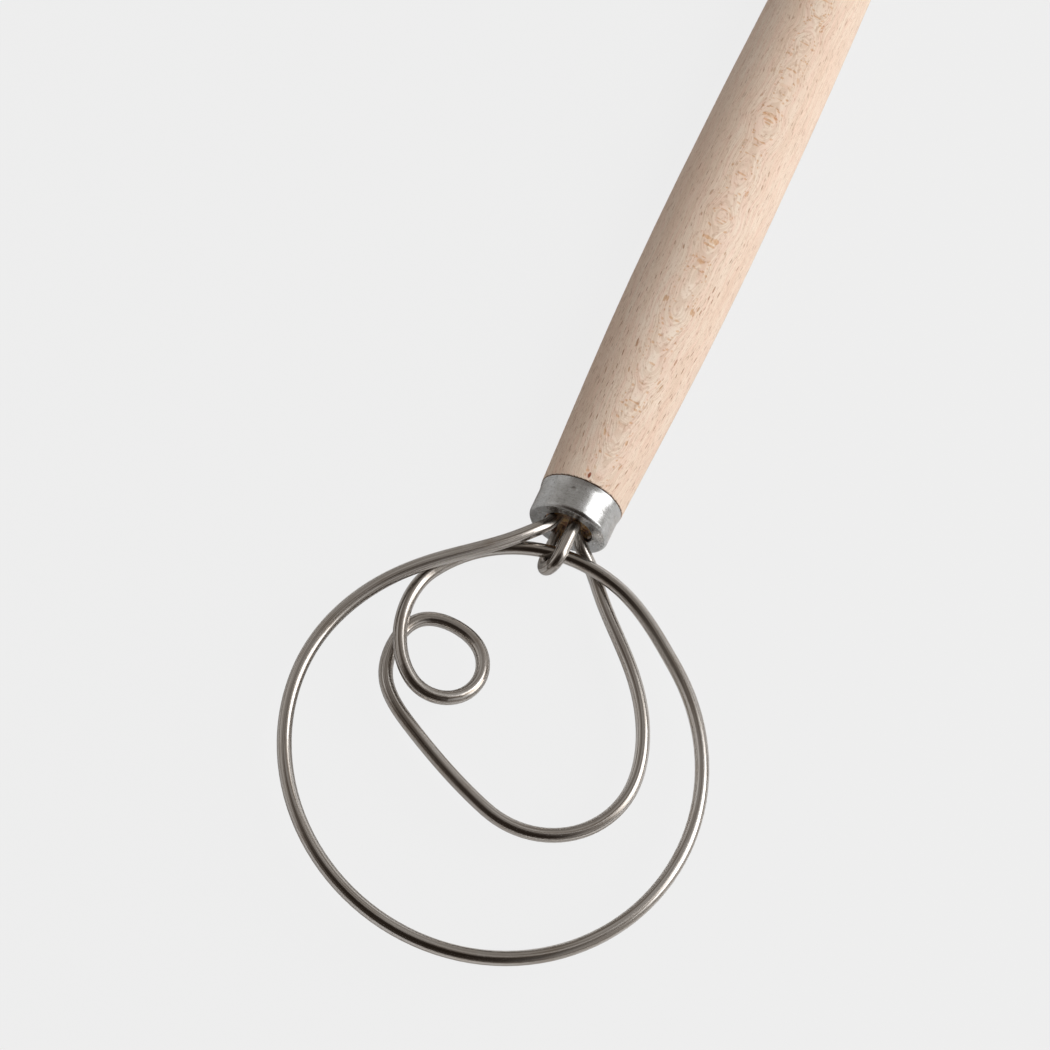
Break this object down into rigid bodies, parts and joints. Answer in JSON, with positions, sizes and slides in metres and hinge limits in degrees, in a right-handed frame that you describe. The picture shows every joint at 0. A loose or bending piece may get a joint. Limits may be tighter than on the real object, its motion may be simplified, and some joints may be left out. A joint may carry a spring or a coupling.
{
  "type": "dough whisk",
  "caption": "Danish dough whisk: a flat ring, inner loop and small curl of stainless wire on a turned beech handle with a steel ferrule.",
  "frame": {"origin": "centre of the hanging hole near the handle's rear end", "axes": "+X along the handle towards the wire ring, +Z along the hanging hole and normal to the ring's plane"},
  "size_m": [0.3507, 0.0892, 0.0238],
  "materials": {
    "beech": "satin",
    "stainless_wire": "satin",
    "ferrule_steel": "satin",
    "epoxy": "gloss"
  },
  "bodies": {
    "root": {"handle": "beech", "ferrule": "ferrule_steel", "whisk_wire": "stainless_wire", "retaining_hook": "stainless_wire", "epoxy_fill": "epoxy"}
  },
  "joints": []
}
